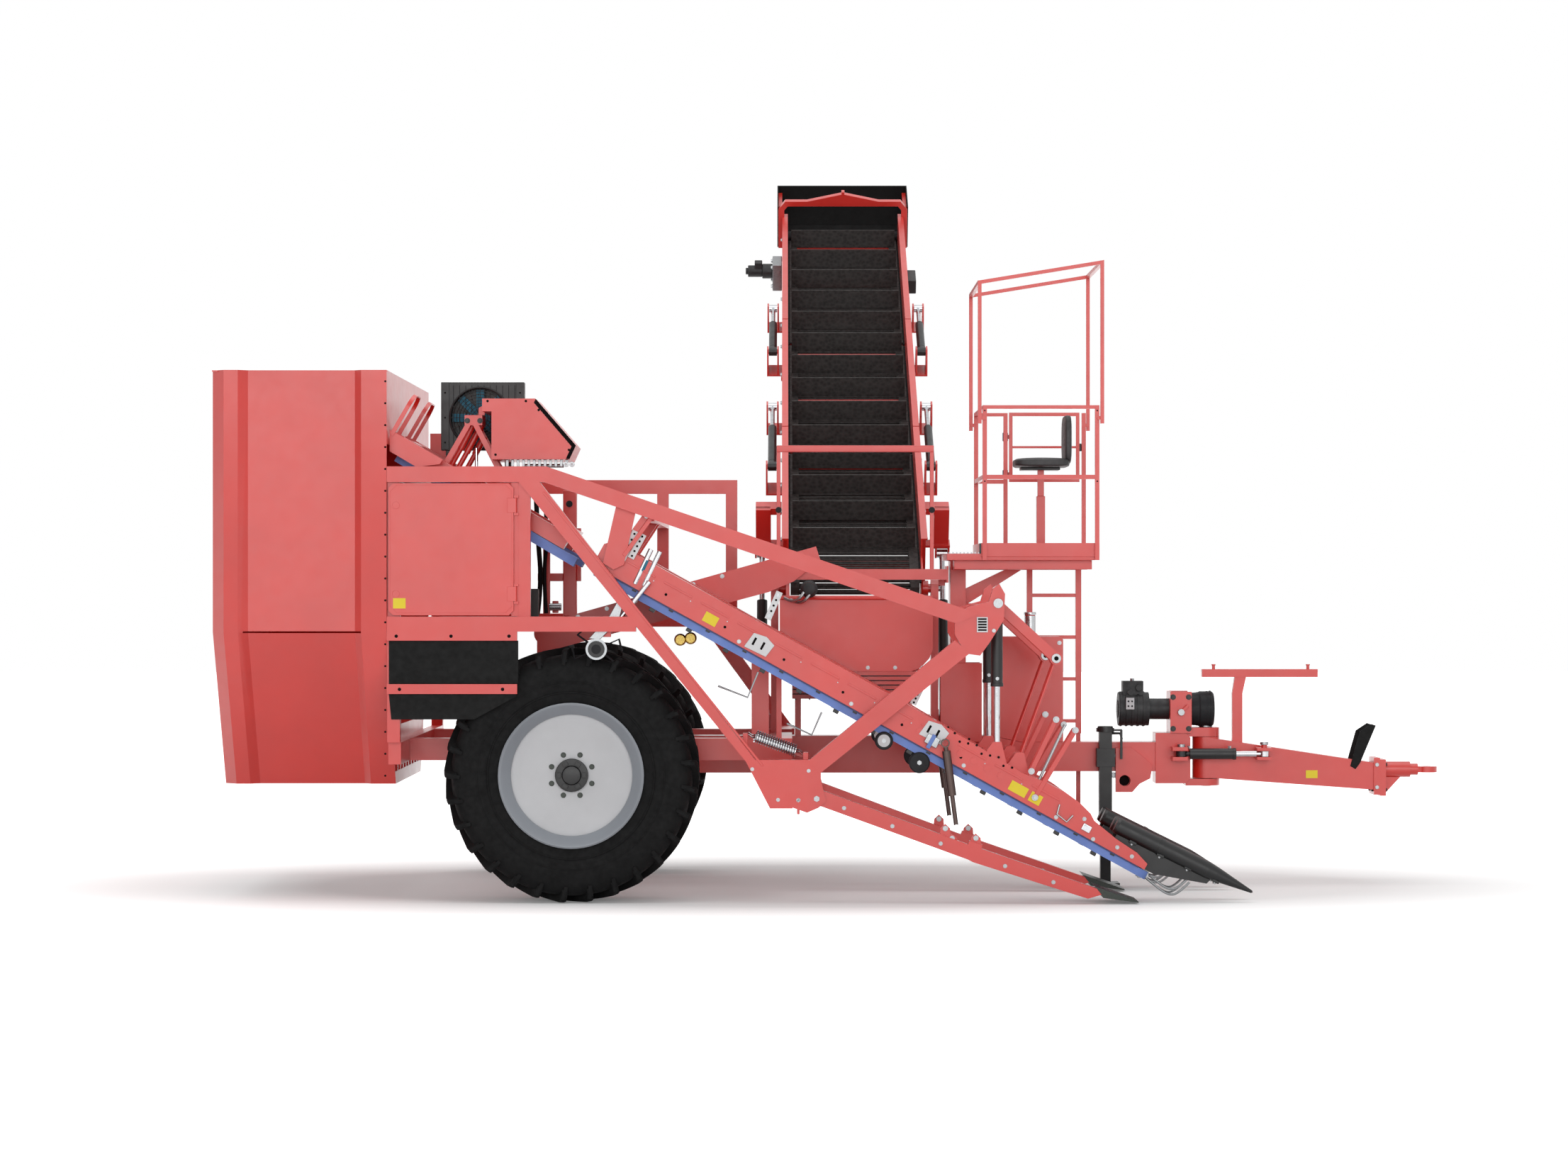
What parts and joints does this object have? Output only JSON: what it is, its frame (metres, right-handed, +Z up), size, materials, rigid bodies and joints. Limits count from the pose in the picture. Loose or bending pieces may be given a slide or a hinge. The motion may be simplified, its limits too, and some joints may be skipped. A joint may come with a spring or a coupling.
{
  "type": "trailed carrot harvester",
  "caption": "Trailed root vegetable harvester with belt lifting channels, a leaf chute, a folding discharge elevator, an operator's platform and a steered drawbar.",
  "frame": {"origin": "middle of the bounding box on the ground, as it stands on its wheels and jack", "axes": "+X towards the drawbar, +Y to the left where the elevator discharges, +Z up"},
  "size_m": [7.918, 7.19, 5.2267],
  "materials": {
    "red_paint": "gloss",
    "red_cover": "gloss",
    "black_paint": "satin",
    "white_paint": "gloss",
    "stainless": "satin",
    "chromed_rod": "polished",
    "tyre_rubber": "matte",
    "blue_belt": "matte",
    "black_rubber": "matte",
    "black_plastic": "matte",
    "seat_cover": "matte"
  },
  "bodies": {
    "chassis": {"main_frame": "red_paint", "truss_right": "red_paint", "leaf_chute": "red_cover", "skirt_panels": "black_rubber", "frame_left": "red_paint", "jack_tube": "black_paint", "pump_unit": "black_paint", "pto_guard": "black_plastic", "elevator_posts": "red_paint", "mast": "red_paint", "platform": "stainless", "platform_rails": "red_paint", "seat": "seat_cover", "seat_post": "red_paint", "ladder": "red_paint", "oil_tank": "red_paint", "hopper": "red_paint", "cleaning_conveyor": "red_paint", "leaf_conveyor": "red_paint", "leaf_belts": "blue_belt", "topper": "red_paint", "oil_cooler": "black_paint"},
    "wheel_right": {"tyre_right": "tyre_rubber", "rim_right": "white_paint"},
    "wheel_left": {"tyre_left": "tyre_rubber", "rim_left": "white_paint"},
    "lifting_unit": {"lifting_channels": "red_paint", "lifting_belts": "blue_belt", "belt_rollers": "black_plastic", "torpedoes": "black_paint", "share_cylinders": "black_paint"},
    "lift_barrel": {"lift_barrels": "black_paint"},
    "lift_rod": {"lift_rods": "chromed_rod"},
    "link_arm": {"link_arms": "red_paint"},
    "link_rod": {"link_rods": "red_paint"},
    "share_arm": {"share_arms": "red_paint", "share_blades": "black_paint"},
    "drawbar_pole": {"drawbar": "red_paint", "drawbar_eye": "red_paint", "pto_rest": "black_rubber"},
    "steering_cylinder": {"steering_barrel": "black_paint"},
    "steering_piston": {"steering_rod": "chromed_rod"},
    "elevator_base": {"elevator_lower": "red_paint", "web_lower": "black_rubber"},
    "elevator_mid": {"elevator_middle": "red_paint", "web_middle": "black_rubber"},
    "elevator_end": {"elevator_top": "red_paint", "web_top": "black_rubber", "elevator_hood": "red_paint", "hood_flaps": "black_rubber"},
    "elevator_lift_barrel": {"elevator_lift_barrels": "black_paint"},
    "elevator_lift_rod": {"elevator_lift_rods": "chromed_rod"},
    "fold_1_barrel": {"fold_barrels_1": "black_paint"},
    "fold_1_rod": {"fold_rods_1": "chromed_rod"},
    "fold_2_barrel": {"fold_barrels_2": "black_paint"},
    "fold_2_rod": {"fold_rods_2": "chromed_rod"},
    "door": {"side_door": "red_cover"},
    "platform_gate": {"gate": "red_paint"},
    "jack_foot": {"jack_leg": "black_paint"},
    "fan": {"cooler_fan": "black_plastic"}
  },
  "joints": [
    {"name": "wheel_right_spin", "type": "hinge", "parent": "chassis", "child": "wheel_right", "pos_m": [-1.728, -3.27999, 0.795], "axis": [0, 1, 0], "continuous": true},
    {"name": "wheel_left_spin", "type": "hinge", "parent": "chassis", "child": "wheel_left", "pos_m": [-1.728, -0.90999, 0.795], "axis": [0, 1, 0], "continuous": true},
    {"name": "fan_spin", "type": "hinge", "parent": "chassis", "child": "fan", "pos_m": [-2.355, -2.72799, 3.061], "axis": [0, 1, 0], "continuous": true},
    {"name": "drawbar_steer", "type": "hinge", "parent": "chassis", "child": "drawbar_pole", "pos_m": [2.416, -1.84499, 0.755], "axis": [0, 0, 1], "range_deg": [-18, 18]},
    {"name": "steering_cylinder_turn", "type": "hinge", "parent": "chassis", "child": "steering_cylinder", "pos_m": [2.232, -2.03499, 0.866], "axis": [0, 0, 1], "range_deg": [-12.28, 12.28]},
    {"name": "steering_cylinder_stroke", "type": "slide", "parent": "steering_cylinder", "child": "steering_piston", "axis": [1, 0, 0], "range_m": [-0.0605, 0.0605]},
    {"name": "row_lift", "type": "hinge", "parent": "chassis", "child": "lifting_unit", "pos_m": [-1.463, -2.84999, 2.15], "axis": [0, -1, 0], "range_deg": [0, 7]},
    {"name": "lift_cylinder_turn", "type": "hinge", "parent": "chassis", "child": "lift_barrel", "pos_m": [0.929, -2.84999, 1.87], "axis": [0, -1, 0], "range_deg": [0, 12.12]},
    {"name": "lift_cylinder_stroke", "type": "slide", "parent": "lift_barrel", "child": "lift_rod", "axis": [0, 0, -1], "range_m": [-0.293, 0]},
    {"name": "link_arm_turn", "type": "hinge", "parent": "chassis", "child": "link_arm", "pos_m": [0.929, -2.84999, 1.87], "axis": [0, -1, 0], "range_deg": [0, 40.4]},
    {"name": "link_rod_turn", "type": "hinge", "parent": "link_arm", "child": "link_rod", "pos_m": [1.304, -2.84999, 1.524], "axis": [0, -1, 0], "range_deg": [-40.5, 0]},
    {"name": "share_arm_turn", "type": "hinge", "parent": "chassis", "child": "share_arm", "pos_m": [-0.198, -2.84999, 0.656], "axis": [0, -1, 0], "range_deg": [0, 17.07]},
    {"name": "elevator_raise", "type": "hinge", "parent": "chassis", "child": "elevator_base", "pos_m": [0.069, -1.9064, 1.96248], "axis": [1, 0, 0], "range_deg": [-10, 30]},
    {"name": "elevator_lift_turn", "type": "hinge", "parent": "chassis", "child": "elevator_lift_barrel", "pos_m": [0.069, -1.39499, 1.1], "axis": [1, 0, 0], "range_deg": [-4.61, 13.82]},
    {"name": "elevator_lift_stroke", "type": "slide", "parent": "elevator_lift_barrel", "child": "elevator_lift_rod", "axis": [0, 0.3203, 0.9473], "range_m": [-0.1225, 0.3674]},
    {"name": "elevator_fold_1", "type": "hinge", "parent": "elevator_base", "child": "elevator_mid", "pos_m": [0.069, -0.2064, 2.67203], "axis": [-1, 0, 0], "range_deg": [0, 70]},
    {"name": "fold_1_turn", "type": "hinge", "parent": "elevator_base", "child": "fold_1_barrel", "pos_m": [0.069, -0.82733, 2.81136], "axis": [-1, 0, 0], "range_deg": [0, 35.96]},
    {"name": "fold_1_stroke", "type": "slide", "parent": "fold_1_barrel", "child": "fold_1_rod", "axis": [0, 0.8854, 0.4648], "range_m": [0, 0.3013]},
    {"name": "elevator_fold_2", "type": "hinge", "parent": "elevator_mid", "child": "elevator_end", "pos_m": [0.069, 1.46699, 3.55058], "axis": [-1, 0, 0], "range_deg": [0, 60]},
    {"name": "fold_2_turn", "type": "hinge", "parent": "elevator_mid", "child": "fold_2_barrel", "pos_m": [0.069, 0.95275, 3.72334], "axis": [-1, 0, 0], "range_deg": [0, 31.95]},
    {"name": "fold_2_stroke", "type": "slide", "parent": "fold_2_barrel", "child": "fold_2_rod", "axis": [0, 0.8854, 0.4648], "range_m": [0, 0.2908]},
    {"name": "door_swing", "type": "hinge", "parent": "chassis", "child": "door", "pos_m": [-2.069, -3.58599, 2.205], "axis": [0, 0, 1], "range_deg": [0, 110]},
    {"name": "gate_swing", "type": "hinge", "parent": "chassis", "child": "platform_gate", "pos_m": [1.106, -1.35499, 2.92], "axis": [0, 0, 1], "range_deg": [0, 100]},
    {"name": "jack_slide", "type": "slide", "parent": "chassis", "child": "jack_foot", "axis": [0, 0, 1], "range_m": [0, 0.33]}
  ],
  "couplings": [
    {"joint": "steering_cylinder_turn", "follows": "drawbar_steer", "ratio": 0.66869},
    {"joint": "steering_cylinder_stroke", "follows": "drawbar_steer", "m_per_rad": 0.18896},
    {"joint": "lift_cylinder_turn", "follows": "row_lift", "ratio": 1.6971},
    {"joint": "lift_cylinder_stroke", "follows": "row_lift", "m_per_rad": -2.3509},
    {"joint": "link_arm_turn", "follows": "row_lift", "ratio": 5.6577},
    {"joint": "link_rod_turn", "follows": "row_lift", "ratio": -5.6719},
    {"joint": "share_arm_turn", "follows": "row_lift", "ratio": 2.3902},
    {"joint": "elevator_lift_turn", "follows": "elevator_raise", "ratio": 0.45157},
    {"joint": "elevator_lift_stroke", "follows": "elevator_raise", "m_per_rad": 0.6879},
    {"joint": "fold_1_turn", "follows": "elevator_fold_1", "ratio": 0.50368},
    {"joint": "fold_1_stroke", "follows": "elevator_fold_1", "m_per_rad": 0.2418},
    {"joint": "fold_2_turn", "follows": "elevator_fold_2", "ratio": 0.522},
    {"joint": "fold_2_stroke", "follows": "elevator_fold_2", "m_per_rad": 0.27226}
  ]
}
